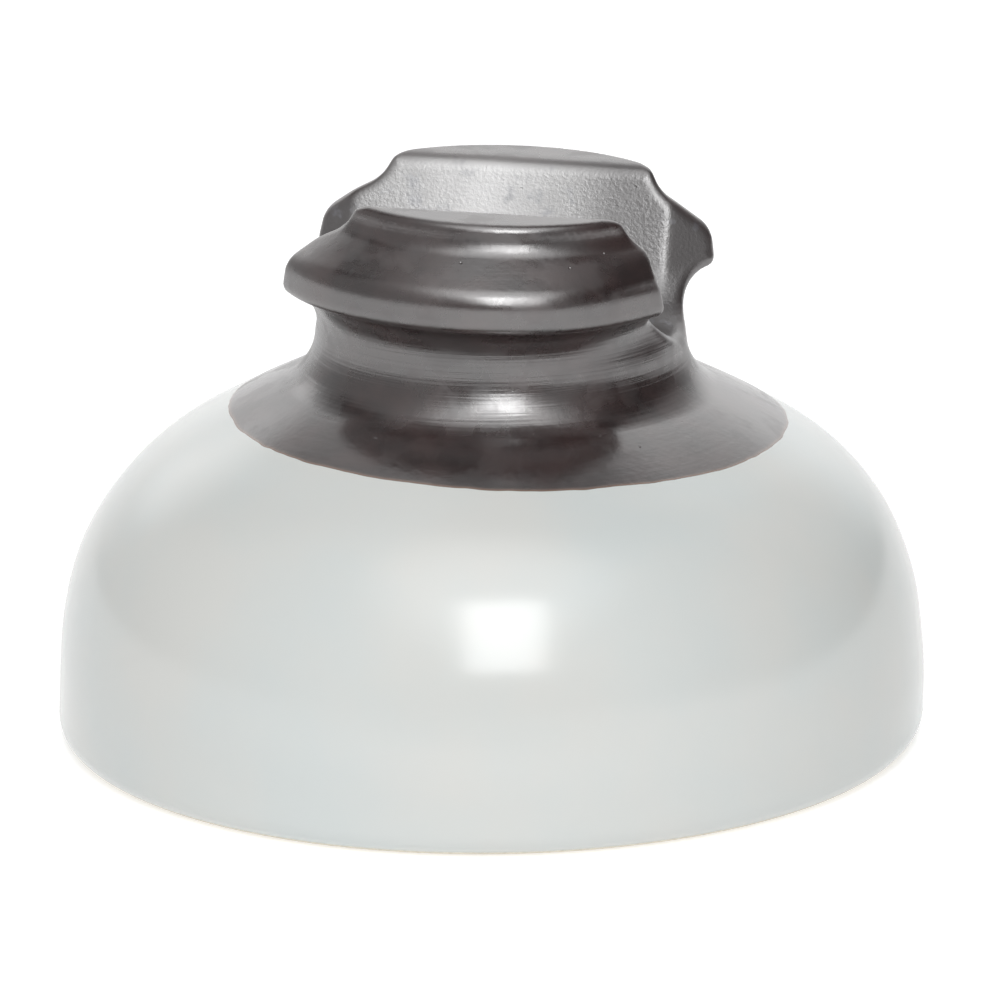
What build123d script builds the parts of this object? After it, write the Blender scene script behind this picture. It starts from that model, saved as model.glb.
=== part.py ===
# Porcelain pin-type line insulator with a saddle groove across its head.
# Millimetres, +Z up, origin at the middle of the firing foot, groove along X.
import os
from math import cos, radians, sin

from build123d import *

os.makedirs("parts", exist_ok=True)

# Overall sizes.
height = 114.0            # foot to the flat lands either side of the groove
skirt_r = 89.0            # widest radius of the outer skirt
foot_outer_r = 84.2
glaze = 0.4               # thickness of every glaze coat
glaze_line = 66.5         # height where the dark head glaze meets the white
bare_foot = 2.0           # white glaze stops this far above the ground

# Outside of the porcelain, walked from the foot up to the head.
foot_round = 4.8
side_height = 6.2
side_r, side_turn = 103.0, 9.7
shoulder_r, shoulder_turn = 49.6, 50.0
crown_r, crown_turn = 256.0, 4.8
flare_r = 12.5            # sweep from the crown into the tie-wire neck
neck_height = 0.6
neck_top_r = 9.2          # sweep from the neck out under the head's nose
neck_top_turn = 76
nose_r = 2.4              # lower corner of the nose
nose_face = 2.4
nose_back_r = 5.0         # upper corner of the nose
nose_back_turn = 54
shoulder_flat = 7.6       # slanting shoulder up to the step
step_r = 5.0              # hollow at the foot of the land's step
step_turn = 46
step_rise = 1.3
land_round = 1.8
land_turn = 82

# Conductor groove across the head.
groove_floor = 86.0
groove_bottom_r = 17.0
groove_lean = 23.0        # each wall leans outward this many degrees
groove_round = 1.6        # rounding where the wall meets the land
mouth_start = 29.0        # the groove begins to widen here
mouth_end = 50.0          # well clear of the nose
mouth_floor = 81.5
mouth_bottom_r = 36.0

# Underside: pin hole, its boss, one petticoat, the outer skirt.
hole_r = 20.4
hole_top = 70.0
hole_corner = 4.0
boss_foot = 16.0
boss_r = 30.6
lip_r = 2.5
petticoat_foot = 11.0
petticoat_rim_r = 3.9
inner_bay_r = 8.4         # rounded roof of the space round the boss
inner_bay_top = 55.0
outer_bay_r = 8.0         # rounded roof of the space under the skirt
outer_bay_top = 47.5
skirt_bend_r = 14.0       # bend from that roof down the inside of the skirt
skirt_foot_r = 2.6
draft = 2.0               # walls of the bays lean by this many degrees
skirt_draft = 6.0

# Cemented zinc thimble.
thimble_r = 17.0
thimble_foot = 17.5
thimble_top = 65.6
thread_minor_r = 11.1
thread_major_r = 12.9
thread_pitch = 6.35       # four threads per inch
thread_top = 61.0
key_groove_r = 1.3        # ribs of cement that key into the thimble
key_heights = (27.0, 36.0, 45.0, 54.0)
cushion_r = 15.0
cushion_thick = 2.4


def walk(moves, start, heading):
    # Follows straights ("go", length), ("to_x" or "to_z", value) and tangent arcs
    # ("turn", radius, degrees, left positive). Porcelain lies on the left.
    x, z = start
    legs = []
    for move in moves:
        c, s = cos(radians(heading)), sin(radians(heading))
        if move[0] == "turn":
            radius, turn = move[1], move[2]
            side = 1 if turn > 0 else -1
            cx, cz = x - side * radius * s, z + side * radius * c
            legs.append(("arc", cx, cz, radius, side, heading, turn))
            heading += turn
            x = cx + side * radius * sin(radians(heading))
            z = cz - side * radius * cos(radians(heading))
        else:
            length = move[1]
            if move[0] == "to_x":
                length = (move[1] - x) / c
            if move[0] == "to_z":
                length = (move[1] - z) / s
            legs.append(("line", x, z, length, c, s))
            x, z = x + length * c, z + length * s
    return legs, (x, z)


def lay(legs, skin):
    # Draws the legs moved into the porcelain by skin, and gives the two end points.
    ends = []
    for leg in legs:
        if leg[0] == "arc":
            kind, cx, cz, radius, side, heading, turn = leg
            edge = CenterArc((cx, cz), radius - side * skin, heading - 90 * side, turn)
        else:
            kind, x, z, length, c, s = leg
            x, z = x - skin * s, z + skin * c
            edge = Line((x, z), (x + length * c, z + length * s))
        ends.append(edge)
    return ends[0] @ 0, ends[-1] @ 1


# Outside walk; the neck's height is what is left over to reach the full height.
outside_moves = [
    ("turn", foot_round, 90),
    ("go", side_height),
    ("turn", side_r, side_turn),
    ("turn", shoulder_r, shoulder_turn),
    ("turn", crown_r, crown_turn),
    ("turn", flare_r, -side_turn - shoulder_turn - crown_turn),
    ("go", neck_height),
    ("turn", neck_top_r, -neck_top_turn),
    ("turn", nose_r, neck_top_turn),
    ("go", nose_face),
    ("turn", nose_back_r, nose_back_turn),
    ("go", shoulder_flat),
    ("turn", step_r, -step_turn),
    ("go", step_rise),
    ("turn", land_round, land_turn),
]
outside, top_point = walk(outside_moves, (foot_outer_r, 0), 0)
rise = height - top_point[1]
outside_moves[6] = ("go", neck_height + rise)
outside, top_point = walk(outside_moves, (foot_outer_r, 0), 0)

# Underside walk, from the top of the pin hole out to the inner edge of the foot.
skirt_foot_z = skirt_foot_r * (1 - sin(radians(skirt_draft)))
underside_moves = [
    ("to_x", hole_r - hole_corner),
    ("turn", hole_corner, -90),
    ("to_z", boss_foot + lip_r),
    ("turn", lip_r, 90),
    ("to_x", boss_r - lip_r),
    ("turn", lip_r, 90 - draft),
    ("to_z", inner_bay_top - inner_bay_r),
    ("turn", inner_bay_r, -180 + 2 * draft),
    ("to_z", petticoat_foot + petticoat_rim_r),
    ("turn", petticoat_rim_r, 180 - 2 * draft),
    ("to_z", outer_bay_top - outer_bay_r),
    ("turn", outer_bay_r, -120 + draft),
    ("turn", skirt_bend_r, skirt_draft - 60),
    ("to_z", skirt_foot_z),
    ("turn", skirt_foot_r, 90 - skirt_draft),
]
underside, inner_foot = walk(underside_moves, (0, hole_top), 0)


def body_face(skin):
    # Half section of the turned body, moved into the porcelain by skin.
    with BuildSketch(Plane.XZ) as face:
        with BuildLine():
            first, inner_end = lay(underside, skin)
            outer_start, last = lay(outside, skin)
            Line(inner_end, outer_start)
            Line(last, (0, last.Y))
            Line((0, last.Y), (0, first.Y))
        make_face()
    return face.sketch


def groove_section(place, floor, radius, skin, rounded):
    # Round-bottomed trough with leaning walls, open to well above the head.
    lean = radians(groove_lean)
    top = height - skin
    mid = floor + radius
    turn_x, turn_z = radius * cos(lean), mid - radius * sin(lean)
    big = (radius + skin) / radius
    turn_x, turn_z = turn_x * big, mid - (mid - turn_z) * big
    slope = sin(lean) / cos(lean)
    rim_z = top - (groove_round + skin) * (1 + sin(lean)) if rounded else top + 30
    rim_x = turn_x + (rim_z - turn_z) * slope
    round_r = groove_round + skin
    with BuildSketch(Plane.YZ.offset(place)) as trough:
        with BuildLine():
            floor_point = (0, floor - skin)
            ThreePointArc((-turn_x, turn_z), floor_point, (turn_x, turn_z))
            for side in (1, -1):
                Line((side * turn_x, turn_z), (side * rim_x, rim_z))
                edge_x = rim_x
                edge_z = rim_z
                if rounded:
                    edge_x = rim_x + round_r * cos(lean)
                    edge_z = top
                    RadiusArc((side * rim_x, rim_z), (side * edge_x, edge_z),
                              round_r * side)
                    Line((side * edge_x, edge_z), (side * edge_x, edge_z + 10))
                    edge_z = edge_z + 10
            Line((-edge_x, edge_z), (edge_x, edge_z))
        make_face()
    return trough.sketch


def turned(skin):
    # The whole outside shape, less the groove, moved into the porcelain by skin.
    with BuildPart() as blank:
        add(body_face(skin))
        revolve(axis=Axis.Z)
        trough = groove_section(-60, groove_floor, groove_bottom_r, skin, True)
        extrude(trough.face(), amount=120, dir=(1, 0, 0), mode=Mode.SUBTRACT)
    pieces = []
    for side in (1, -1):
        inner = groove_section(side * mouth_start, groove_floor, groove_bottom_r, skin, False)
        outer = groove_section(side * mouth_end, mouth_floor, mouth_bottom_r, skin, False)
        with BuildPart() as mouth:
            loft(sections=[inner.face(), outer.face()])
        pieces.append(mouth.part)
    return blank.part - pieces


def rod(radius, bottom, top):
    # Plain upright cylinder on the insulator's axis.
    with BuildPart() as bar:
        with BuildSketch(Plane.XY.offset(bottom)):
            Circle(radius)
        extrude(amount=top - bottom)
    return bar.part


# Glaze coats: the outer shape less the same shape one coat thinner.
outer_shape = turned(0.0)
coats = outer_shape - turned(glaze)
above_line = rod(skirt_r + 10, glaze_line, height + 10)
above_line = above_line - rod(hole_r + 5, glaze_line - 1, hole_top + 3)
hole_zone = rod(hole_r + 3, boss_foot + lip_r, hole_top + 3)
foot_zone = rod(skirt_r + 10, -1, bare_foot)

# Dark semiconducting glaze: crown, neck, nose, lands and the groove.
with BuildPart() as head_glaze:
    add(coats)
    add(above_line, mode=Mode.INTERSECT)

# The same glaze lines the pin hole.
with BuildPart() as pin_hole_glaze:
    add(coats)
    add(hole_zone, mode=Mode.INTERSECT)

# White glaze, outside of the skirt and underside; the foot is left bare.
white_coats = coats - [above_line, hole_zone, foot_zone]
white_coats = white_coats.solids().sort_by(lambda coat: coat.bounding_box().size.X)

with BuildPart() as underside_glaze:
    add(white_coats[0])

with BuildPart() as skirt_glaze:
    add(white_coats[-1])

# Fired porcelain under the coats.
with BuildPart() as porcelain_body:
    add(outer_shape)
    add(head_glaze.part, mode=Mode.SUBTRACT)
    add(pin_hole_glaze.part, mode=Mode.SUBTRACT)
    add(underside_glaze.part, mode=Mode.SUBTRACT)
    add(skirt_glaze.part, mode=Mode.SUBTRACT)

# Zinc thimble with a one-inch pin thread.
thread_depth = thread_major_r - thread_minor_r
with BuildPart() as thimble:
    with BuildSketch(Plane.XY.offset(thimble_foot)):
        Circle(thimble_r)
    extrude(amount=thimble_top - thimble_foot)
    fillet(thimble.edges().group_by(Axis.Z)[-1], 2.0)
    with BuildSketch(Plane.XY.offset(thimble_foot)):
        Circle(thread_minor_r)
    extrude(amount=thread_top - thimble_foot, mode=Mode.SUBTRACT)
    with BuildSketch(Plane.XZ):
        for level in key_heights:
            with Locations((thimble_r, level)):
                Circle(key_groove_r)
    revolve(axis=Axis.Z, mode=Mode.SUBTRACT)

with BuildPart() as thread_cut:
    with BuildLine() as thread_path:
        Helix(pitch=thread_pitch, height=thread_top - thimble_foot + 3,
              radius=thread_minor_r, center=(0, 0, thimble_foot - 5))
    with BuildSketch(Plane(origin=thread_path.line @ 0, x_dir=(1, 0, 0),
                           z_dir=thread_path.line % 0)):
        with BuildLine():
            Polyline((-0.7, -2.0), (thread_depth, -0.55), (thread_depth, 0.55),
                     (-0.7, 2.0), close=True)
        make_face()
    sweep(is_frenet=True)

with BuildPart() as threaded_thimble:
    add(thimble.part)
    add(thread_cut.part, mode=Mode.SUBTRACT)

# Cork cushion over the thimble and the cement round both.
with BuildPart() as cushion_disc:
    with BuildSketch(Plane.XY.offset(thimble_top)):
        Circle(cushion_r)
    extrude(amount=cushion_thick)

with BuildPart() as thimble_cement:
    with BuildSketch(Plane.XY.offset(boss_foot + lip_r + 0.4)):
        Circle(hole_r)
    extrude(amount=hole_top - boss_foot - lip_r - 0.4)
    fillet(thimble_cement.edges().group_by(Axis.Z)[-1], hole_corner)
    with BuildSketch(Plane.XY.offset(boss_foot)):
        Circle(thread_minor_r + 0.5)
    extrude(amount=thread_top - boss_foot, mode=Mode.SUBTRACT)
    add(thimble.part, mode=Mode.SUBTRACT)
    add(cushion_disc.part, mode=Mode.SUBTRACT)

# Hand over.
porcelain_body.part.label = "porcelain_body"
export_step(porcelain_body.part, "parts/porcelain_body.step")
head_glaze.part.label = "head_glaze"
export_step(head_glaze.part, "parts/head_glaze.step")
skirt_glaze.part.label = "skirt_glaze"
export_step(skirt_glaze.part, "parts/skirt_glaze.step")
underside_glaze.part.label = "underside_glaze"
export_step(underside_glaze.part, "parts/underside_glaze.step")
pin_hole_glaze.part.label = "pin_hole_glaze"
export_step(pin_hole_glaze.part, "parts/pin_hole_glaze.step")
threaded_thimble.part.label = "thimble"
export_step(threaded_thimble.part, "parts/thimble.step")
thimble_cement.part.label = "thimble_cement"
export_step(thimble_cement.part, "parts/thimble_cement.step")
cushion_disc.part.label = "cushion_disc"
export_step(cushion_disc.part, "parts/cushion_disc.step")
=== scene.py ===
import bmesh
import bpy
import numpy as np
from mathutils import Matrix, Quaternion, Vector


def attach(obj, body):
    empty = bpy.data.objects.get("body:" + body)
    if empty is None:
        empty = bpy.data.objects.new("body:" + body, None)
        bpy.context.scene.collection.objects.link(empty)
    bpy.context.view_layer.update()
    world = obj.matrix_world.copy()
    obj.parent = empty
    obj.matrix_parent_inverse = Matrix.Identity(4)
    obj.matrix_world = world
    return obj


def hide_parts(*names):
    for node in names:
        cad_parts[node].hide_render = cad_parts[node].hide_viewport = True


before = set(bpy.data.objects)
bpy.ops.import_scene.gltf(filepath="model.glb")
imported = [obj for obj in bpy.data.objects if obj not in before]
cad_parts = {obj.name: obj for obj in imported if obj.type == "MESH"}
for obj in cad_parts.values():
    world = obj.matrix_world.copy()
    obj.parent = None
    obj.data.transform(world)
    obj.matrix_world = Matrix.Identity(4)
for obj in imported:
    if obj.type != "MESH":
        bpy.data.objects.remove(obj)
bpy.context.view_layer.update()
mm = 0.001
rng = np.random.default_rng(55)
print("frame loaded, nodes:", sorted(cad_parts))


def linearColour(hexText):
    # sRGB hex to linear RGBA: each channel through the sRGB curve's inverse
    c = np.array([int(hexText[i:i + 2], 16) for i in (1, 3, 5)]) / 255
    lin = np.where(c <= 0.04045, c / 12.92, ((c + 0.055) / 1.055) ** 2.4)
    return (*[float(v) for v in lin], 1.0)


def addNode(tree, kind, settings=None, links=None):
    # one shader node; settings are attributes or socket values, links feed its inputs
    node = tree.nodes.new(kind)
    for key, value in (settings or {}).items():
        if isinstance(key, str) and hasattr(node, key):
            setattr(node, key, value)
        else:
            node.inputs[key].default_value = value
    for key, source in (links or {}).items():
        tree.links.new(source, node.inputs[key])
    return node


def smoothStep(x, low, high):
    # 0 below low, 1 above high, and three t squared less two t cubed between them
    t = np.clip((x - low) / (high - low), 0, 1)
    return t * t * (3 - 2 * t)


def makeMesh(name, points, faces, normals=None, attributes=None):
    # points in mm, faces as lists of quads and triangles, optional exact normals
    mesh = bpy.data.meshes.new(name)
    mesh.from_pydata((points * mm).tolist(), [], faces)
    mesh.polygons.foreach_set("use_smooth", np.ones(len(mesh.polygons), bool))
    for key, values in (attributes or {}).items():
        layer = mesh.attributes.new(key, "FLOAT", "POINT")
        layer.data.foreach_set("value", values.astype(np.float32))
    mesh.update()
    if normals is not None:
        mesh.normals_split_custom_set_from_vertices(normals.tolist())
    obj = bpy.data.objects.new(name, mesh)
    bpy.context.scene.collection.objects.link(obj)
    return obj


def gridFaces(rows, columns, closeRows=False, closeColumns=True):
    # quads over a rows by columns grid of points, wrapped where asked
    i = np.arange(rows if closeRows else rows - 1)
    j = np.arange(columns if closeColumns else columns - 1)
    i, j = np.meshgrid(i, j, indexing="ij")
    a, b = i * columns + j, i * columns + (j + 1) % columns
    c, d = ((i + 1) % rows) * columns + (j + 1) % columns, ((i + 1) % rows) * columns + j
    return np.stack([a, b, c, d], -1).reshape(-1, 4)


# All lengths in mm. A profile is a chain with the porcelain on its left: (length,) is a
# straight, (radius, degrees) a tangent arc, ("neck",) and ("z", height) straights that
# are as long as they need to be.
outsideShape = {
    "footRadius": 84.2,
    "height": 114.0,
    "moves": [
        (4.8, 90), (6.2,),                            # foot round and upright side
        (103.0, 9.7), (49.6, 50.0), (256.0, 4.8),     # side, shoulder and crown of the dome
        (12.5, -64.5), ("neck",), (9.2, -76),         # tie-wire neck and its two sweeps
        (2.4, 76), (2.4,), (5.0, 54),                 # nose: under edge, face and back
        (7.6,), (5.0, -46), (1.3,), (1.8, 82),        # shoulder, step and edge of the land
    ],
}
undersideShape = {
    "start": (23.0, 16.2),
    "moves": [
        (5.2,), (2.4, 88.0), (28.3,),                 # end and side of the pin-hole boss
        (8.4, -176.0), (31.7,),                       # inner bay
        (3.9, 176.0), (24.6,),                        # petticoat's edge and outer side
        (8.0, -118.0), (14.0, -54.0), ("z", 2.33),    # outer bay and inside of the skirt
        (2.6, 84.0),                                  # inner round of the foot
    ],
}


def walkProfile(moves, start, spacing, neck=0.0):
    # points and outward normals of a chain that sets out along +X: a straight adds length
    # times its direction, an arc turns the heading steadily about a centre at its side
    heading = 0.0
    p, points, normals = np.array(start, float), [], []
    for move in moves:
        a = np.radians(heading)
        if len(move) == 1 or move[0] == "z":
            length = neck if move[0] == "neck" else move[0]
            if move[0] == "z":
                length = (move[1] - p[1]) / np.sin(a)
            t = np.linspace(0, 1, max(2, int(length / spacing) + 1), endpoint=False)[:, None]
            step = length * np.array([np.cos(a), np.sin(a)])
            points.append(p + t * step)
            normals.append(np.tile([np.sin(a), -np.cos(a)], (len(t), 1)))
            p = p + step
            continue
        radius, turn = move
        side = np.sign(turn)
        centre = p + side * radius * np.array([-np.sin(a), np.cos(a)])
        count = max(4, int(radius * abs(np.radians(turn)) / spacing) + 1)
        b = a + np.radians(turn) * np.linspace(0, 1, count, endpoint=False)
        out = np.stack([np.sin(b), -np.cos(b)], -1)
        points.append(centre + side * radius * out)
        normals.append(out)
        heading += turn
        b = np.radians(heading)
        p = centre + side * radius * np.array([np.sin(b), -np.cos(b)])
    points.append(p[None])
    normals.append(np.array([[np.sin(b), -np.cos(b)]]))
    return np.concatenate(points), np.concatenate(normals)


def outsideProfile(spacing):
    # the neck's height is what brings the last arc up to the full height
    moves, start = outsideShape["moves"], (outsideShape["footRadius"], 0)
    short, _ = walkProfile(moves, start, spacing)
    return walkProfile(moves, start, spacing, outsideShape["height"] - short[-1, 1])


def undersideProfile(spacing):
    # from the boss's end, over both bays, to the foot
    return walkProfile(undersideShape["moves"], undersideShape["start"], spacing)


kiln = {
    "bodyTilt": 0.023,     # the whole body leans this much above the foot, as a slope
    "headTilt": 0.006,     # the head leans this much more
    "bodyShift": 1.15,     # mm, how far the dome's shoulder sits off the leaning axis
    "headShift": -0.4,     # mm more at the neck
    "landShift": 0.25,     # mm more at the lands
    "landRise": 0.4,       # mm, how far the lands stand over the drawn height
    "trimmedEnd": 4.6,     # mm taken off the nose's near right end
    "leanTurn": 9.0,       # direction of the lean, degrees from +X
    "tiltFrom": 72.0,      # height where the head's own lean begins
    "tiltSoft": 8.0,       # mm of height over which it sets in
    "ovality": 0.16,       # mm, slow waves left by throwing and firing
    "skirtRadius": 89.0,   # where that size is reached
    # waves: lobes round the body, phase, share, and turn of the phase per mm of height
    "waves": [(2, 0.6, 0.9, 0.06), (3, 2.2, 0.5, 0.126), (5, 4.1, 0.25, 0.21),
              (1, 1.3, 0.3, 0.36)],
    # heights between which each movement grows to its full size
    "waveBand": (-4, 12), "bodyBand": (28, 58), "neckBand": (68, 84),
    "landBand": (100, 111), "riseBand": (98, 112), "dropBand": (2, 30),
    "headDropBand": (70, 98),
    # the trimmed end: along X, towards the front, and the heights where it starts and stops
    "trimAlong": (14, 40), "trimFront": (4, 18), "trimUp": (83, 94), "trimDown": (101, 109),
}


def kilnWarp(points):
    # radius grows by a sum of cosines of angle and height; the axis is sheared sideways
    # by its height plus smooth steps, and each level is tipped to stay square to it
    k = kiln
    x, y, z = points.T
    angle = np.arctan2(y, x)
    grow = sum(share * np.cos(lobes * angle + phase + z * rate)
               for lobes, phase, share, rate in k["waves"])
    scale = 1 + k["ovality"] * grow * smoothStep(z, *k["waveBand"]) / k["skirtRadius"]
    lean = np.radians(k["leanTurn"])
    along = x * np.cos(lean) + y * np.sin(lean)
    up = np.clip(z - k["tiltFrom"], 0, None)
    push = (k["bodyTilt"] * np.maximum(z, 0)
            + k["headTilt"] * up ** 2 / (up + k["tiltSoft"])
            + k["bodyShift"] * smoothStep(z, *k["bodyBand"])
            + k["headShift"] * smoothStep(z, *k["neckBand"])
            + k["landShift"] * smoothStep(z, *k["landBand"]))
    drop = along * (k["bodyTilt"] * smoothStep(z, *k["dropBand"])
                    + k["headTilt"] * smoothStep(z, *k["headDropBand"]))
    # one end of the nose is trimmed back: a smooth bump of movement along -X
    trim = (k["trimmedEnd"] * smoothStep(x, *k["trimAlong"])
            * smoothStep(-y, *k["trimFront"]) * smoothStep(z, *k["trimUp"])
            * (1 - smoothStep(z, *k["trimDown"])))
    return np.stack([x * scale + push * np.cos(lean) - trim,
                     y * scale + push * np.sin(lean),
                     z - drop + k["landRise"] * smoothStep(z, *k["riseBand"])], -1)


glazeLine = {
    "height": 66.4,       # of the dark glaze's edge on the crown
    "radius": 55.0,       # of the crown there
    "tilt": 0.0148,       # slope of the edge's plane, down along the lean
    "nick": 0.075,        # mm, size of the unevenness
    "lobes": (2, 90),     # coarsest and finest unevenness round the edge
    "fade": 0.75,         # the finer, the smaller, by this power
    "searched": (55, 74), "spacing": 0.1,     # heights between which the crown is sampled
}
lineTerms = [(n, rng.uniform(0, 2 * np.pi), rng.normal() / n ** glazeLine["fade"])
             for n in range(*glazeLine["lobes"])]


def lineHeight(angle):
    # height of the dark glaze's edge round the crown: a tipped plane plus a sum of sines
    lean = np.radians(kiln["leanTurn"])
    flat = glazeLine["height"] - glazeLine["tilt"] * glazeLine["radius"] * np.cos(angle - lean)
    rough = sum(size * np.sin(n * angle + phase) for n, phase, size in lineTerms)
    return flat + glazeLine["nick"] * rough


grooveShape = {
    "floor": 86.0,         # height of the trough's lowest line
    "bottomRadius": 17.0,
    "lean": 23.0,          # degrees that the walls lean outward
    "mouthStart": 33.0,    # the groove flares past this distance from its middle
    "mouthMiddle": -1.5,   # where that middle is along the groove
    "mouthSlope": 1.0,     # growth of the bottom radius per mm along the mouth
    "mouthSoft": 0.9,      # rounding of the place where the flare begins
    "mouthDrop": 0.20,     # the floor falls this much per mm along the mouth
    "wallBow": -0.003,     # the walls close in by this times the distance squared
    "bowStart": 12.0,      # distance from the middle where that begins
    "edge": 1.5,           # rounding where the groove breaks through the surface
}
trough = {
    "top": 150.0,          # the cutter stands well clear of the head
    "mouth": (30.0, 62.0), "mouthRows": 22,
    "middle": (-28.0, 28.0), "middleRows": 9,
    "bottomColumns": 41,
}
headShape = {
    "voxel": 0.85,
    "skin": 0.34,                 # mm that the dark glaze goes under the drawn surface
    "around": 200, "spacing": 0.9,
    "relaxRounds": 5, "pull": 0.6, "lastRounds": 4,
    "blankFrom": 58.0,            # the blank's lower end
    "heldBelow": 60.0,            # its flat end is left alone
    "wallBand": (0.25, 0.95),     # share of the groove in the surface, to full wall finish
    "body": 0.16,                 # mm that it stands over it, away from its edge
    "bodyBand": (-0.3, 1.2),      # mm above the edge over which it thickens
}
fieldProfile = {"from": 52.0, "spacing": 0.12, "topSpacing": 0.3, "batch": 8192}


def grooveSection(x):
    # at distance x from the groove's middle: radius of the bottom circle and height of
    # its centre, both growing by a rounded ramp past the start of the mouth
    s = grooveShape
    past = x - s["mouthStart"]
    grow = (np.sqrt(past ** 2 + s["mouthSoft"] ** 2) + past) / 2
    bow = s["wallBow"] * np.clip(x - s["bowStart"], 0, None) ** 2
    radius = s["bottomRadius"] + s["mouthSlope"] * grow + bow
    return radius, s["floor"] - s["mouthDrop"] * grow + radius


def grooveField(points):
    # distance from the groove's wall, negative inside the open trough: below the lean
    # line it is distance to the bottom circle, above it distance to the leaning plane
    radius, middle = grooveSection(np.abs(points[:, 0] - grooveShape["mouthMiddle"]))
    y, dz = np.abs(points[:, 1]), points[:, 2] - middle
    lean = np.radians(grooveShape["lean"])
    onWall = (y * np.sin(lean) + dz * np.cos(lean) > 0) | (dz > 0)
    circle = np.hypot(y, dz) - radius
    wall = y * np.cos(lean) - dz * np.sin(lean) - radius
    return np.where(onWall, wall, circle)


def fieldGradient(field, points, step=0.02):
    # central differences along the three axes
    grads = [(field(points + step * axis) - field(points - step * axis)) / (2 * step)
             for axis in np.eye(3)]
    return np.stack(grads, -1)


sampleOut, sampleNormal = outsideProfile(fieldProfile["spacing"])
keepSamples = sampleOut[:, 1] > fieldProfile["from"]
sampleOut, sampleNormal = sampleOut[keepSamples], sampleNormal[keepSamples]
topRadius = np.arange(sampleOut[-1, 0] - fieldProfile["spacing"], 0, -fieldProfile["topSpacing"])
topFill = np.stack([topRadius, np.full(len(topRadius), outsideShape["height"])], -1)
sampleOut = np.concatenate([sampleOut, topFill])
sampleNormal = np.concatenate([sampleNormal, np.tile([0.0, 1.0], (len(topFill), 1))])


def turnedField(points):
    # distance to the turned profile: offset from the nearest profile sample along its
    # normal, with that normal swung round to the point's own angle
    r = np.maximum(np.hypot(points[:, 0], points[:, 1]), 1e-6)
    flat = np.stack([r, points[:, 2]], -1)
    value, normal = np.empty(len(flat)), np.empty((len(flat), 2))
    batch = fieldProfile["batch"]
    for first in range(0, len(flat), batch):     # in batches, to spare memory
        part = flat[first:first + batch]
        gap = ((part[:, None, :] - sampleOut[None]) ** 2).sum(-1)
        near = gap.argmin(1)
        normal[first:first + batch] = sampleNormal[near]
        value[first:first + batch] = ((part - sampleOut[near]) * sampleNormal[near]).sum(-1)
    lift = np.stack([normal[:, 0] * points[:, 0] / r, normal[:, 0] * points[:, 1] / r,
                     normal[:, 1]], -1)
    return value, lift


def headField(points, offset=0.0):
    # greater of the turned field and the groove's field reversed, with the corner between
    # them rounded by a quarter of the squared overlap; also its gradient and groove share
    soft = grooveShape["edge"] * 2
    a, gradA = turnedField(points)
    b = -grooveField(points)
    gradB = -fieldGradient(grooveField, points)
    mix = np.clip(0.5 + (a - b) / (2 * soft), 0, 1)
    value = np.maximum(a, b) + np.clip(soft - np.abs(a - b), 0, None) ** 2 / (4 * soft)
    grad = mix[:, None] * gradA + (1 - mix[:, None]) * gradB
    return value - offset, grad, 1 - mix


def toSurface(points, rounds, offset=0.0):
    # Newton steps: back along the gradient by the value over the gradient's square
    for _ in range(rounds):
        value, grad, _ = headField(points, offset)
        size = np.maximum((grad ** 2).sum(-1), 0.05)     # kept away from nought
        points = points - (value / size)[:, None] * grad
    return points


def turnedSolid(name, outer, around):
    # closed solid of revolution: rings of the profile, and one pole at each end
    angle = np.linspace(0, 2 * np.pi, around, endpoint=False)
    ring = outer[:, None, :]
    x, y = ring[..., 0] * np.cos(angle), ring[..., 0] * np.sin(angle)
    z = np.broadcast_to(ring[..., 1], x.shape)
    points = np.stack([x, y, z], -1).reshape(-1, 3)
    count = len(points)
    faces = gridFaces(len(outer), around).tolist()
    points = np.concatenate([points, [[0, 0, outer[0, 1]], [0, 0, outer[-1, 1]]]])
    k = np.arange(around)
    last = (len(outer) - 1) * around
    faces += np.stack([(k + 1) % around, k, np.full(around, count)], -1).tolist()
    faces += np.stack([last + k, last + (k + 1) % around,
                       np.full(around, count + 1)], -1).tolist()
    return makeMesh(name, points, faces)


def troughSolid(name):
    # closed cutter: the groove's section carried along X, wider towards both mouths
    t, lean = trough, np.radians(grooveShape["lean"])
    mouth = np.linspace(*t["mouth"], t["mouthRows"])
    x = np.concatenate([-mouth[::-1], np.linspace(*t["middle"], t["middleRows"]), mouth])
    radius, middle = grooveSection(np.abs(x - grooveShape["mouthMiddle"]))
    turn = np.linspace(lean - np.pi, -lean, t["bottomColumns"])
    y = radius[:, None] * np.cos(turn)
    z = middle[:, None] + radius[:, None] * np.sin(turn)
    # above the circle the walls run straight on, tangent to it, up to the cutter's top
    topY = radius * np.cos(lean) + (t["top"] - middle + radius * np.sin(lean)) * np.tan(lean)
    topZ = np.full((len(x), 1), t["top"])
    y = np.concatenate([-topY[:, None], y, topY[:, None]], 1)
    z = np.concatenate([topZ, z, topZ], 1)
    points = np.stack([np.broadcast_to(x[:, None], y.shape), y, z], -1)
    rows, columns = y.shape
    faces = gridFaces(rows, columns).tolist()
    faces.append(list(range(columns)))
    faces.append(list(range((rows - 1) * columns, rows * columns))[::-1])
    return makeMesh(name, points.reshape(-1, 3), faces)


def fixNormals(obj):
    # faces turned to look outward
    work = bmesh.new()
    work.from_mesh(obj.data)
    bmesh.ops.recalc_face_normals(work, faces=work.faces)
    work.to_mesh(obj.data)
    work.free()


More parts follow.
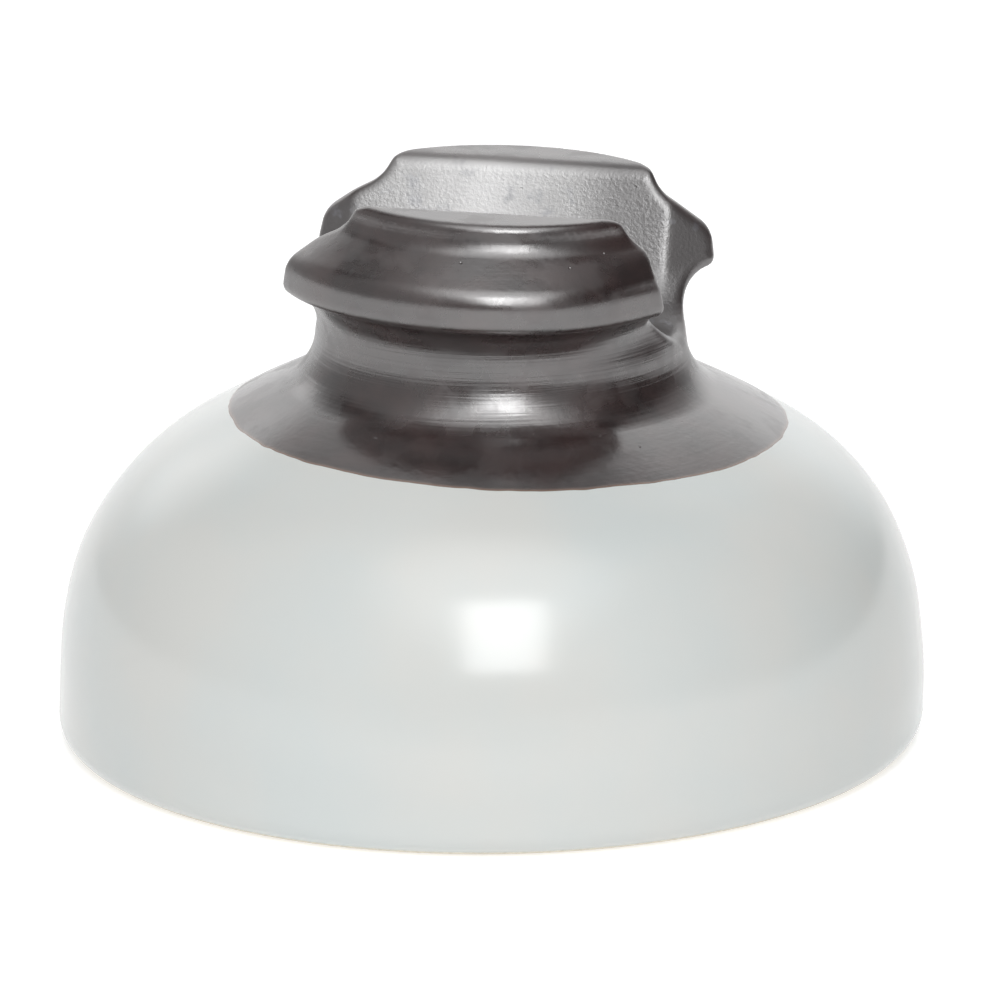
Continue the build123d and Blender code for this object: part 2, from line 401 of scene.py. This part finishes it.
def applied(obj):
    # the object's mesh with its modifiers taken in: points in mm, and the faces as one
    # array for each number of corners; the object is removed
    graph = bpy.context.evaluated_depsgraph_get()
    mesh = bpy.data.meshes.new_from_object(obj.evaluated_get(graph))
    points = np.empty(len(mesh.vertices) * 3)
    mesh.vertices.foreach_get("co", points)
    corners = np.empty(len(mesh.loops), np.int32)
    mesh.loops.foreach_get("vertex_index", corners)
    first = np.empty(len(mesh.polygons), np.int32)
    mesh.polygons.foreach_get("loop_start", first)
    size = np.empty(len(mesh.polygons), np.int32)
    mesh.polygons.foreach_get("loop_total", size)
    bpy.data.objects.remove(obj)
    corners = corners.astype(int)
    groups = [corners[first[size == n][:, None] + np.arange(n)] for n in np.unique(size)]
    return points.reshape(-1, 3) / mm, groups


def faceList(groups):
    # the groups' faces one after another, as from_pydata takes them
    return [face for group in groups for face in group.tolist()]


def edgePairs(groups):
    # every face's edges as pairs of point numbers, in the face's own direction
    return np.concatenate([np.stack([g, np.roll(g, -1, 1)], -1).reshape(-1, 2)
                           for g in groups])


def relaxed(points, groups, pull):
    # each point part-way to the mean of its neighbours
    pairs = edgePairs(groups)
    total, count = np.zeros_like(points), np.zeros(len(points))
    for a, b in ((0, 1), (1, 0)):
        np.add.at(total, pairs[:, a], points[pairs[:, b]])
        np.add.at(count, pairs[:, a], 1)
    return points + pull * (total / np.maximum(count, 1)[:, None] - points)


def groovedBlank(name, section, around):
    # a turned blank with the trough taken out by a boolean, and the cutter that it needs
    blank = turnedSolid(name, section, around)
    cutter = troughSolid(name + "Cutter")
    fixNormals(blank)
    fixNormals(cutter)
    cut = blank.modifiers.new("groove", "BOOLEAN")
    cut.operation, cut.object, cut.solver = "DIFFERENCE", cutter, "EXACT"
    return blank, cutter


def headSurface():
    # the head as one even mesh lying on headField, open below the glaze line: a voxel
    # mesh, evened out by turns of relaxing and stepping back to the field
    h = headShape
    outer, _ = outsideProfile(h["spacing"])
    blank, cutter = groovedBlank("headBlank", outer[outer[:, 1] > h["blankFrom"]], h["around"])
    grid = blank.modifiers.new("grid", "REMESH")
    grid.mode, grid.voxel_size = "VOXEL", h["voxel"] * mm
    points, groups = applied(blank)
    bpy.data.objects.remove(cutter)
    held = points[:, 2:] < h["heldBelow"]
    for _ in range(h["relaxRounds"]):
        points = np.where(held, points, toSurface(relaxed(points, groups, h["pull"]), 1))
    return np.where(held, points, toSurface(points, h["lastRounds"])), groups


def cutAtLine(points, groups):
    # keeps the faces above the glaze line and moves the rim's points onto the line
    angle = np.arctan2(points[:, 1], points[:, 0])
    line = lineHeight(angle)
    above = points[:, 2] > line
    kept = [g[above[g].all(1)] for g in groups]
    pairs = edgePairs(kept)
    order = np.sort(pairs, 1)
    key, first, count = np.unique(order[:, 0] * len(points) + order[:, 1],
                                  return_index=True, return_counts=True)
    rim = pairs[first[count == 1]]
    rimPoints = np.unique(rim)
    crown, _ = outsideProfile(glazeLine["spacing"])
    low, high = glazeLine["searched"]
    crown = crown[(crown[:, 1] > low) & (crown[:, 1] < high)]
    rise = line[rimPoints]
    radius = np.interp(rise, crown[:, 1], crown[:, 0])
    points[rimPoints] = np.stack([radius * np.cos(angle[rimPoints]),
                                  radius * np.sin(angle[rimPoints]), rise], -1)
    return points, kept, rim


def packed(points, groups):
    # drops points that no face uses and renumbers the faces
    used = np.zeros(len(points), bool)
    for g in groups:
        used[g] = True
    number = np.cumsum(used) - 1
    return points[used], [number[g] for g in groups], number


def withThickness(points, normals, groups, rim, thickness):
    # outer wall, inner wall pushed in along the normals, and a strip joining their rims
    count = len(points)
    inner = points - normals * thickness[:, None]
    strip = np.stack([rim[:, 1], rim[:, 0], rim[:, 0] + count, rim[:, 1] + count], -1)
    faces = faceList(groups + [g[:, ::-1] + count for g in groups] + [strip])
    return np.concatenate([points, inner]), faces


headPoints, headGroups = headSurface()
print("head surface:", len(headPoints), "points")
headPoints, headGroups, headRim = cutAtLine(headPoints, headGroups)
headPoints, headGroups, headNumber = packed(headPoints, headGroups)
headRim = headNumber[headRim]
_, headGrad, headCutShare = headField(headPoints)
headNormals = headGrad / np.linalg.norm(headGrad, axis=1)[:, None]
wallDepth = smoothStep(headCutShare, *headShape["wallBand"])
print("head cut at the glaze line:", len(headPoints), "points")

# the glaze is thin at its edge and swells to its full body just above
rimHeight = headPoints[:, 2] - lineHeight(np.arctan2(headPoints[:, 1], headPoints[:, 0]))
swell = headShape["body"] * smoothStep(rimHeight, *headShape["bodyBand"])
headPoints = headPoints + headNormals * swell[:, None]


def warpedNormals(points, normals, step=0.05):
    # normals after the kiln warp: cross product of two warped tangents
    helper = np.where(np.abs(normals[:, 2:3]) < 0.8, [[0, 0, 1.0]], [[1.0, 0, 0]])
    t1 = np.cross(normals, helper)
    t1 /= np.linalg.norm(t1, axis=1)[:, None]
    t2 = np.cross(normals, t1)
    d1 = kilnWarp(points + step * t1) - kilnWarp(points - step * t1)
    d2 = kilnWarp(points + step * t2) - kilnWarp(points - step * t2)
    n = np.cross(d1, d2)
    return n / np.linalg.norm(n, axis=1)[:, None]


def buildHead():
    # the dark glaze: its surface given a wall and warped, with exact normals, and with
    # the groove wall's share and the height over the edge kept for the material
    thick = headShape["skin"] + swell
    outerNormals = warpedNormals(headPoints, headNormals)
    points, faces = withThickness(headPoints, headNormals, headGroups, headRim, thick)
    normals = np.concatenate([outerNormals, -outerNormals])
    return makeMesh("headGlaze", kilnWarp(points), faces, normals,
                    {"wall": np.tile(wallDepth, 2), "rim": np.tile(rimHeight, 2)})


coat = {
    "thickness": 0.36,
    "bareFoot": 0.6,          # the foot ring is bare up to this height
    "top": 71.0,              # the white coat ends under the dark one
    "crownRadius": 48.0,      # and outside this radius
    "footRadius": 70.0,       # the underside's coat may end only outside this one
    "around": 300, "spacing": 1.0,
    "aroundUnder": 240, "spacingUnder": 1.6,
}


def ringShell(name, outer, normals, around):
    # closed shell of revolution: the profile out and, pushed inward, back again
    loop = np.concatenate([outer, (outer - normals * coat["thickness"])[::-1]])
    angle = np.linspace(0, 2 * np.pi, around, endpoint=False)
    x = loop[:, :1] * np.cos(angle)
    y = loop[:, :1] * np.sin(angle)
    z = np.broadcast_to(loop[:, 1:], x.shape)
    points = kilnWarp(np.stack([x, y, z], -1).reshape(-1, 3))
    return makeMesh(name, points, gridFaces(len(loop), around, closeRows=True).tolist())


def buildSkirtGlaze():
    # the outside profile from the bare foot up to a little under the dark glaze
    outer, normals = outsideProfile(coat["spacing"])
    r, z = outer.T
    keep = (z >= coat["bareFoot"]) & (z < coat["top"]) & (r > coat["crownRadius"])
    return ringShell("skirtGlaze", outer[keep], normals[keep], coat["around"])


def buildUndersideGlaze():
    # the underside profile from the boss's end to where the bare foot begins
    outer, normals = undersideProfile(coat["spacingUnder"])
    stop = np.nonzero((outer[:, 1] < coat["bareFoot"]) & (outer[:, 0] > coat["footRadius"]))[0]
    last = stop[0] if len(stop) else len(outer)
    return ringShell("undersideGlaze", outer[:last], normals[:last], coat["aroundUnder"])


body = {
    "inset": 0.45,             # the porcelain lies this far inside the glazed surface
    "headInset": 0.55,         # and this far inside it under the dark glaze
    "headFrom": 72.5,          # height where that begins
    "footBand": (1.6, 2.4),    # the inset runs out here, over the bare foot
    "hole": [(16.0, 70.45), (19.0, 69.6), (20.9, 67.0), (20.9, 19.0)],     # pin hole
    "around": 224, "spacing": 1.2, "rounds": 6,
}


def buildPorcelain():
    # the fired body: the whole section turned and grooved, each side moved inward along
    # its normals, and the head's points stepped to the field at their own inset
    sides = []
    for points, normals in (undersideProfile(body["spacing"]), outsideProfile(body["spacing"])):
        inset = body["inset"] * smoothStep(points[:, 1], *body["footBand"])
        sides.append(points - normals * inset[:, None])
    section = np.concatenate([np.array(body["hole"]), *sides])
    blank, cutter = groovedBlank("bodyBlank", section, body["around"])
    points, groups = applied(blank)
    bpy.data.objects.remove(cutter)
    high = points[:, 2] > body["headFrom"]
    points[high] = toSurface(points[high], body["rounds"], -body["headInset"])
    return makeMesh("porcelainBody", kilnWarp(points), faceList(groups))


headGlaze = buildHead()
print("head glaze built")
skirtGlaze = buildSkirtGlaze()
undersideGlaze = buildUndersideGlaze()
porcelainBody = buildPorcelain()
for piece in (skirtGlaze, undersideGlaze, porcelainBody):
    fixNormals(piece)
print("coats and body built")


def newMaterial(name):
    # an empty material with a Principled shader, and Object coordinates to work from
    material = bpy.data.materials.new(name)
    material.use_nodes = True
    tree = material.node_tree
    tree.nodes.clear()
    out = addNode(tree, "ShaderNodeOutputMaterial")
    shader = addNode(tree, "ShaderNodeBsdfPrincipled")
    tree.links.new(shader.outputs[0], out.inputs["Surface"])
    place = addNode(tree, "ShaderNodeTexCoord").outputs["Object"]
    return material, tree, shader, place


def put(obj, material):
    # gives the object this material alone
    obj.data.materials.clear()
    obj.data.materials.append(material)


# Lengths ending in Mm are the real size of a pattern's cells, depths are in mm too.
cloudBand = (0.35, 0.65)     # the middle of a noise's range, spread to a full mix
whiteGlazeLook = {
    "shades": ("#C5CAC9", "#CACBC8"), "cloudMm": 38.0,
    "pinhole": "#8A857C", "pinholeMm": 11.0, "pinholeEdge": (0.018, 0.030),
    "fieldMm": 24.0, "fieldBand": (0.56, 0.58),     # the patches that have pinholes
    "roughness": 0.19, "ior": 1.52,
    "peelMm": 3.2, "peelDepth": 0.12, "peelStrength": 0.10,
}


def whiteGlazeMaterial():
    # clear feldspar glaze over white porcelain, dipped and fired: cool, deep gloss with
    # a faint orange peel and a few dark pinholes
    w = whiteGlazeLook
    material, tree, shader, place = newMaterial("dippedWhiteFeldsparGlaze")
    cloud = addNode(tree, "ShaderNodeTexNoise", {"Scale": 1 / (w["cloudMm"] * mm), "Detail": 3.0},
                    {"Vector": place})
    cloud = addNode(tree, "ShaderNodeMapRange", {"From Min": cloudBand[0], "From Max": cloudBand[1]},
                    {"Value": cloud.outputs[0]})
    shade = addNode(tree, "ShaderNodeMix",
                    {"data_type": "RGBA", 6: linearColour(w["shades"][0]),
                     7: linearColour(w["shades"][1])}, {0: cloud.outputs[0]})
    cells = addNode(tree, "ShaderNodeTexVoronoi", {"Scale": 1 / (w["pinholeMm"] * mm)},
                    {"Vector": place})
    pin = addNode(tree, "ShaderNodeMapRange",
                  {"From Min": w["pinholeEdge"][0], "From Max": w["pinholeEdge"][1],
                   "To Min": 1.0, "To Max": 0.0}, {"Value": cells.outputs["Distance"]})
    field = addNode(tree, "ShaderNodeTexNoise", {"Scale": 1 / (w["fieldMm"] * mm), "Detail": 1.0},
                    {"Vector": place})
    field = addNode(tree, "ShaderNodeMapRange",
                    {"From Min": w["fieldBand"][0], "From Max": w["fieldBand"][1]},
                    {"Value": field.outputs[0]})
    both = addNode(tree, "ShaderNodeMath", {"operation": "MULTIPLY"},
                   {0: pin.outputs[0], 1: field.outputs[0]})
    base = addNode(tree, "ShaderNodeMix", {"data_type": "RGBA", 7: linearColour(w["pinhole"])},
                   {0: both.outputs[0], 6: shade.outputs[2]})
    tree.links.new(base.outputs[2], shader.inputs["Base Color"])
    shader.inputs["Roughness"].default_value = w["roughness"]
    shader.inputs["IOR"].default_value = w["ior"]
    peel = addNode(tree, "ShaderNodeTexNoise", {"Scale": 1 / (w["peelMm"] * mm), "Detail": 2.0},
                   {"Vector": place})
    peel = addNode(tree, "ShaderNodeBump",
                   {"Strength": w["peelStrength"], "Distance": w["peelDepth"] * mm},
                   {"Height": peel.outputs[0]})
    tree.links.new(peel.outputs[0], shader.inputs["Normal"])
    return material


brownGlazeLook = {
    "shades": ("#201616", "#342625"), "cloudMm": 9.0,
    "ior": 2.35,                                         # tin and iron oxide
    "wallHighlightMiddle": "#C2C1C1", "wallHighlightEnds": "#3F3B3B",      # painted highlight on the groove wall: pale grey in its middle, darker at its ends
    "wallHighlightCentre": -4.0, "wallHighlightReach": (2.0, 27.0),        # mm along the groove: middle of that painted highlight, and where it fades
    "smudge": "#74757C", "smudgeMm": 6.0, "smudgeBand": (0.58, 0.68), "smudgeMost": 0.6,
    "rim": "#6E5648", "rimBand": (0.05, 0.4),            # thin glaze shows paler
    "crownRough": 0.17, "neckRough": 0.27, "roughBand": (73.0, 78.0), "wallRough": 0.36,
    "dullMm": 11.0, "dullBand": (0.50, 0.58), "dullMost": 0.09,
    "peelMm": 1.6, "peelDepth": 0.10, "peelStrength": 0.22,
    # turning lines: noise cells per metre across and up, a little coarser than the real
    # lines so that they show; then from and to heights in mm, and strength at each
    "comb": (25, 25, 1700), "combDepth": 0.09,
    "combTop": (89.0, 92.0, 0.85, 0.15), "combFoot": (72.0, 77.0, 0.2, 1.0),
    "pitMm": 6.5, "pitEdge": (0.02, 0.05), "pitDepth": 0.12, "pitStrength": 0.8,
    "hammerMm": 0.7, "hammerDepth": 0.2, "hammerStrength": (0.06, 0.45),
}


def brownGlazeMaterial():
    # semiconducting tin and iron glaze: chocolate black with a grey metallic sheen and a painted
    # highlight on the groove wall, orange peel all over, combed by the turning tool and hammered in
    # the groove
    w = brownGlazeLook
    material, tree, shader, place = newMaterial("semiconductingBrownGlaze")
    wall = addNode(tree, "ShaderNodeAttribute", {"attribute_name": "wall"}).outputs["Fac"]
    rim = addNode(tree, "ShaderNodeAttribute", {"attribute_name": "rim"}).outputs["Fac"]
    axes = addNode(tree, "ShaderNodeSeparateXYZ", None, {0: place}).outputs
    cloud = addNode(tree, "ShaderNodeTexNoise", {"Scale": 1 / (w["cloudMm"] * mm), "Detail": 3.0},
                    {"Vector": place})
    cloud = addNode(tree, "ShaderNodeMapRange", {"From Min": cloudBand[0], "From Max": cloudBand[1]},
                    {"Value": cloud.outputs[0]})
    turned = addNode(tree, "ShaderNodeMix",
                     {"data_type": "RGBA", 6: linearColour(w["shades"][0]),
                      7: linearColour(w["shades"][1])}, {0: cloud.outputs[0]})

    # the groove wall is painted pale grey as a painted highlight, brightest in its middle and darker
    # towards its ends, with a few blue-grey smudges
    along = addNode(tree, "ShaderNodeMath", {"operation": "ADD", 1: -w["wallHighlightCentre"] * mm},
                    {0: axes[0]})
    along = addNode(tree, "ShaderNodeMath", {"operation": "ABSOLUTE"}, {0: along.outputs[0]})
    along = addNode(tree, "ShaderNodeMapRange",
                    {"From Min": w["wallHighlightReach"][0] * mm, "From Max": w["wallHighlightReach"][1] * mm},
                    {"Value": along.outputs[0]})
    wallHighlightAndSmudge = addNode(tree, "ShaderNodeMix",
                   {"data_type": "RGBA", 6: linearColour(w["wallHighlightMiddle"]),
                    7: linearColour(w["wallHighlightEnds"])}, {0: along.outputs[0]})
    smudge = addNode(tree, "ShaderNodeTexNoise",
                     {"Scale": 1 / (w["smudgeMm"] * mm), "Detail": 3.0, "Roughness": 0.6},
                     {"Vector": place})
    smudge = addNode(tree, "ShaderNodeMapRange",
                     {"From Min": w["smudgeBand"][0], "From Max": w["smudgeBand"][1],
                      "To Max": w["smudgeMost"]}, {"Value": smudge.outputs[0]})
    wallHighlightAndSmudge = addNode(tree, "ShaderNodeMix", {"data_type": "RGBA", 7: linearColour(w["smudge"])},
                   {0: smudge.outputs[0], 6: wallHighlightAndSmudge.outputs[2]})
    base = addNode(tree, "ShaderNodeMix", {"data_type": "RGBA"},
                   {0: wall, 6: turned.outputs[2], 7: wallHighlightAndSmudge.outputs[2]})
    thin = addNode(tree, "ShaderNodeMapRange",
                   {"From Min": w["rimBand"][0], "From Max": w["rimBand"][1],
                    "To Min": 1.0, "To Max": 0.0}, {"Value": rim})
    base = addNode(tree, "ShaderNodeMix", {"data_type": "RGBA", 7: linearColour(w["rim"])},
                   {0: thin.outputs[0], 6: base.outputs[2]})
    tree.links.new(base.outputs[2], shader.inputs["Base Color"])

    # glossy on the crown, silkier on the neck and the groove wall, with dull clouds
    dull = addNode(tree, "ShaderNodeTexNoise",
                   {"Scale": 1 / (w["dullMm"] * mm), "Detail": 4.0, "Roughness": 0.6},
                   {"Vector": place})
    dull = addNode(tree, "ShaderNodeMapRange",
                   {"From Min": w["dullBand"][0], "From Max": w["dullBand"][1],
                    "To Max": w["dullMost"]}, {"Value": dull.outputs[0]})
    silky = addNode(tree, "ShaderNodeMapRange",
                    {"From Min": w["roughBand"][0] * mm, "From Max": w["roughBand"][1] * mm,
                     "To Min": w["crownRough"], "To Max": w["neckRough"]}, {"Value": axes[2]})
    silky = addNode(tree, "ShaderNodeMapRange", {"To Max": w["wallRough"]},
                    {"Value": wall, "To Min": silky.outputs[0]})
    rough = addNode(tree, "ShaderNodeMath", {"operation": "ADD"},
                    {0: dull.outputs[0], 1: silky.outputs[0]})
    tree.links.new(rough.outputs[0], shader.inputs["Roughness"])
    shader.inputs["IOR"].default_value = w["ior"]

    # relief, one over another: orange peel, turning lines, pits, hammered groove wall
    peel = addNode(tree, "ShaderNodeTexNoise", {"Scale": 1 / (w["peelMm"] * mm), "Detail": 2.0},
                   {"Vector": place})
    relief = addNode(tree, "ShaderNodeBump",
                     {"Strength": w["peelStrength"], "Distance": w["peelDepth"] * mm},
                     {"Height": peel.outputs[0]})
    stretched = addNode(tree, "ShaderNodeMapping", {"Scale": w["comb"]}, {"Vector": place})
    comb = addNode(tree, "ShaderNodeTexNoise", {"Scale": 1.0, "Detail": 3.0},
                   {"Vector": stretched.outputs[0]})
    ends = []
    for low, high, under, over in (w["combTop"], w["combFoot"]):
        ends.append(addNode(tree, "ShaderNodeMapRange",
                            {"From Min": low * mm, "From Max": high * mm,
                             "To Min": under, "To Max": over}, {"Value": axes[2]}))
    combed = addNode(tree, "ShaderNodeMath", {"operation": "MULTIPLY"},
                     {0: ends[0].outputs[0], 1: ends[1].outputs[0]})
    relief = addNode(tree, "ShaderNodeBump", {"Distance": w["combDepth"] * mm},
                     {"Height": comb.outputs[0], "Strength": combed.outputs[0],
                      "Normal": relief.outputs[0]})
    pits = addNode(tree, "ShaderNodeTexVoronoi", {"Scale": 1 / (w["pitMm"] * mm)},
                   {"Vector": place})
    pits = addNode(tree, "ShaderNodeMapRange",
                   {"From Min": w["pitEdge"][0], "From Max": w["pitEdge"][1]},
                   {"Value": pits.outputs["Distance"]})
    relief = addNode(tree, "ShaderNodeBump",
                     {"Strength": w["pitStrength"], "Distance": w["pitDepth"] * mm},
                     {"Height": pits.outputs[0], "Normal": relief.outputs[0]})
    hammered = addNode(tree, "ShaderNodeTexNoise",
                       {"Scale": 1 / (w["hammerMm"] * mm), "Detail": 3.0, "Roughness": 0.6},
                       {"Vector": place})
    strength = addNode(tree, "ShaderNodeMapRange",
                       {"To Min": w["hammerStrength"][0], "To Max": w["hammerStrength"][1]},
                       {"Value": wall})
    relief = addNode(tree, "ShaderNodeBump", {"Distance": w["hammerDepth"] * mm},
                     {"Height": hammered.outputs[0], "Strength": strength.outputs[0],
                      "Normal": relief.outputs[0]})
    tree.links.new(relief.outputs[0], shader.inputs["Normal"])
    return material


plainLooks = {
    # porcelain fired without glaze: matt, warm and chalky, faintly gritty
    "firedBisquePorcelain": {"light": "#E3DCCB", "dark": "#CFC6B2", "grainMm": 0.8,
                             "rough": 0.75, "metallic": 0.0, "depth": 0.1},
    # neat cement, set: dull grey, mottled and sandy
    "portlandCement": {"light": "#9A968C", "dark": "#77736A", "grainMm": 1.4,
                       "rough": 0.9, "metallic": 0.0, "depth": 0.25},
    # die-cast zinc, as cast: soft grey shine with faint flow marks
    "dieCastZinc": {"light": "#A7AAAD", "dark": "#8C9093", "grainMm": 2.2,
                    "rough": 0.42, "metallic": 1.0, "depth": 0.05},
    # cork granules pressed into sheet: matt brown speckle
    "pressedCork": {"light": "#A67C50", "dark": "#7A5636", "grainMm": 1.5,
                    "rough": 0.9, "metallic": 0.0, "depth": 0.1},
}


def plainMaterial(name):
    # two close shades clouded at the grain's own size, with the same grain as relief
    look = plainLooks[name]
    material, tree, shader, place = newMaterial(name)
    grain = addNode(tree, "ShaderNodeTexNoise",
                    {"Scale": 1 / (look["grainMm"] * mm), "Detail": 4.0, "Roughness": 0.6},
                    {"Vector": place})
    share = addNode(tree, "ShaderNodeMapRange", {"From Min": cloudBand[0], "From Max": cloudBand[1]},
                    {"Value": grain.outputs[0]})
    base = addNode(tree, "ShaderNodeMix",
                   {"data_type": "RGBA", 6: linearColour(look["dark"]),
                    7: linearColour(look["light"])}, {0: share.outputs[0]})
    tree.links.new(base.outputs[2], shader.inputs["Base Color"])
    shader.inputs["Roughness"].default_value = look["rough"]
    shader.inputs["Metallic"].default_value = look["metallic"]
    relief = addNode(tree, "ShaderNodeBump", {"Strength": 0.5, "Distance": look["depth"] * mm},
                     {"Height": grain.outputs[0]})
    tree.links.new(relief.outputs[0], shader.inputs["Normal"])
    return material


whiteGlaze = whiteGlazeMaterial()
brownGlaze = brownGlazeMaterial()
bisque = plainMaterial("firedBisquePorcelain")
cement = plainMaterial("portlandCement")
zinc = plainMaterial("dieCastZinc")
cork = plainMaterial("pressedCork")

for piece, material, slot, node in (
        (headGlaze, brownGlaze, "brown_glaze", "head_glaze"),
        (skirtGlaze, whiteGlaze, "white_glaze", "skirt_glaze"),
        (undersideGlaze, whiteGlaze, "white_glaze", "underside_glaze"),
        (porcelainBody, bisque, "bisque", "porcelain_body")):
    put(piece, material)
    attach(piece, "root")
    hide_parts(node)
for node, material in (("pin_hole_glaze", brownGlaze), ("thimble", zinc),
                       ("thimble_cement", cement), ("cushion_disc", cork)):
    put(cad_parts[node], material)
print("materials on")


studio = {
    "cameraTurn": 9.0,          # degrees round from the front
    "cameraBack": 1.4984, "cameraHeight": 0.47476, "lookHeight": 0.04799,     # metres
    "lens": 273.7, "sensor": 36.0, "shiftX": 0.0110, "cameraRoll": -0.009,
    "room": 0.56,               # radiance of the room away from the patches
    "darkest": 0.03,            # no direction falls below this
    "boxPower": 6.8, "boxSize": (0.44, 0.69), "boxTurn": 12.6, "boxRise": 38.0,
    "boxDistance": 1.25, "boxAim": 0.05,
    "floorColour": "#CCCCCC", "floorRough": 0.6, "floorHalf": 30.0,
    "floorGlow": 0.55,          # radiance of the floor's own, so that it stays evenly pale
    "clip": (0.05, 60.0),
}


# Light and dark patches of the room: direction (right, away from the camera, up), inner
# and outer angle in degrees, and radiance added to the room's own
roomPatches = [
    ((0.0, 1.0, 0.25), 15, 45, 0.75),       # wall behind
    ((0.0, 0.6, 0.8), 8, 32, 0.65),         # ceiling towards the back
    ((0.0, -0.45, 0.9), 8, 34, 1.7),        # ceiling over the soft box
    ((0.2, 0.2, 0.95), 9, 24, -0.5),        # dark ceiling opening
    ((0.467, 0.71, 0.528), 12, 34, 0.35),   # light panel, back right
    ((-0.45, 0.5, 0.74), 10, 28, -0.40),    # dim corner, back left
    ((-0.52, 0.74, 0.42), 4, 15, 0.8),      # light panel, back left
    ((-1.0, -0.1, 0.3), 20, 55, -0.22),     # dim side walls
    ((1.0, 0.1, 0.25), 25, 65, -0.52),
    ((0.0, -1.0, 0.05), 12, 48, -0.50),     # dark side behind the camera
]


def onSphere(turn, rise, distance, height):
    # a point at that distance from the axis's point at height: turn runs round from the
    # front, rise is the angle above level
    a, e = np.radians(turn), np.radians(rise)
    return Vector((np.sin(a) * np.cos(e) * distance, -np.cos(a) * np.cos(e) * distance,
                   height + np.sin(e) * distance))


def aimed(obj, target):
    # turns an object's -Z towards the target
    obj.rotation_mode = "QUATERNION"
    obj.rotation_quaternion = (target - obj.location).to_track_quat("-Z", "Y")


def addObject(name, data):
    # an object for that data, put into the scene
    obj = bpy.data.objects.new(name, data)
    bpy.context.scene.collection.objects.link(obj)
    return obj


def buildRoom():
    # the world's radiance: an even room plus soft round patches, each a smooth step of
    # the cosine of the angle from its middle
    s = studio
    world = bpy.data.worlds.new("whiteRoom")
    bpy.context.scene.world = world
    world.use_nodes = True
    tree = world.node_tree
    place = addNode(tree, "ShaderNodeTexCoord").outputs["Generated"]
    turned = addNode(tree, "ShaderNodeMapping",
                     {"Rotation": (0, 0, -np.radians(s["cameraTurn"]))}, {"Vector": place})
    total = None
    for way, inner, outer, size in roomPatches:
        cosine = addNode(tree, "ShaderNodeVectorMath",
                         {"operation": "DOT_PRODUCT", 1: Vector(way).normalized()},
                         {0: turned.outputs[0]}).outputs["Value"]
        part = addNode(tree, "ShaderNodeMapRange",
                       {"interpolation_type": "SMOOTHSTEP",
                        "From Min": np.cos(np.radians(outer)),
                        "From Max": np.cos(np.radians(inner)), "To Max": size},
                       {"Value": cosine}).outputs[0]
        both = {0: part} if total is None else {0: part, 1: total}
        total = addNode(tree, "ShaderNodeMath", {"operation": "ADD", 1: s["room"]},
                        both).outputs[0]
    lit = addNode(tree, "ShaderNodeMath", {"operation": "MAXIMUM", 1: s["darkest"]}, {0: total})
    background = tree.nodes["Background"]
    background.inputs["Color"].default_value = (1, 1, 1, 1)
    tree.links.new(lit.outputs[0], background.inputs["Strength"])


def buildLamp():
    # one upright soft box, over the camera and a little to its right
    s = studio
    light = bpy.data.lights.new("softBox", "AREA")
    light.shape, light.size, light.size_y = "RECTANGLE", *s["boxSize"]
    light.energy = s["boxPower"]
    lamp = addObject("softBox", light)
    lamp.location = onSphere(s["boxTurn"], s["boxRise"], s["boxDistance"], s["boxAim"])
    aimed(lamp, Vector((0, 0, s["boxAim"])))


def buildFloor():
    # one large square of pale matt sheet, with a little even glow
    s = studio
    corners = np.array([[-1, -1, 0], [1, -1, 0], [1, 1, 0], [-1, 1, 0.0]])
    floor = makeMesh("studioFloor", corners * s["floorHalf"] / mm, [[0, 1, 2, 3]])
    material, _, shader, _ = newMaterial("whiteSweep")
    shader.inputs["Base Color"].default_value = linearColour(s["floorColour"])
    shader.inputs["Emission Color"].default_value = (1, 1, 1, 1)
    shader.inputs["Emission Strength"].default_value = s["floorGlow"]
    shader.inputs["Roughness"].default_value = s["floorRough"]
    put(floor, material)


def buildCamera():
    # a long lens a little above, looking down at the dome
    s = studio
    lens = bpy.data.cameras.new("studioCamera")
    lens.lens, lens.sensor_width, lens.shift_x = s["lens"], s["sensor"], s["shiftX"]
    lens.clip_start, lens.clip_end = s["clip"]
    camera = addObject("studioCamera", lens)
    camera.location = onSphere(s["cameraTurn"], 0, s["cameraBack"], s["cameraHeight"])
    aimed(camera, Vector((0, 0, s["lookHeight"])))
    camera.rotation_quaternion @= Quaternion((0, 0, 1), s["cameraRoll"])
    bpy.context.scene.camera = camera


buildRoom()
buildLamp()
buildFloor()
buildCamera()
view = bpy.context.scene.view_settings
view.view_transform = "Standard"
view.look = "None"
print("studio ready")
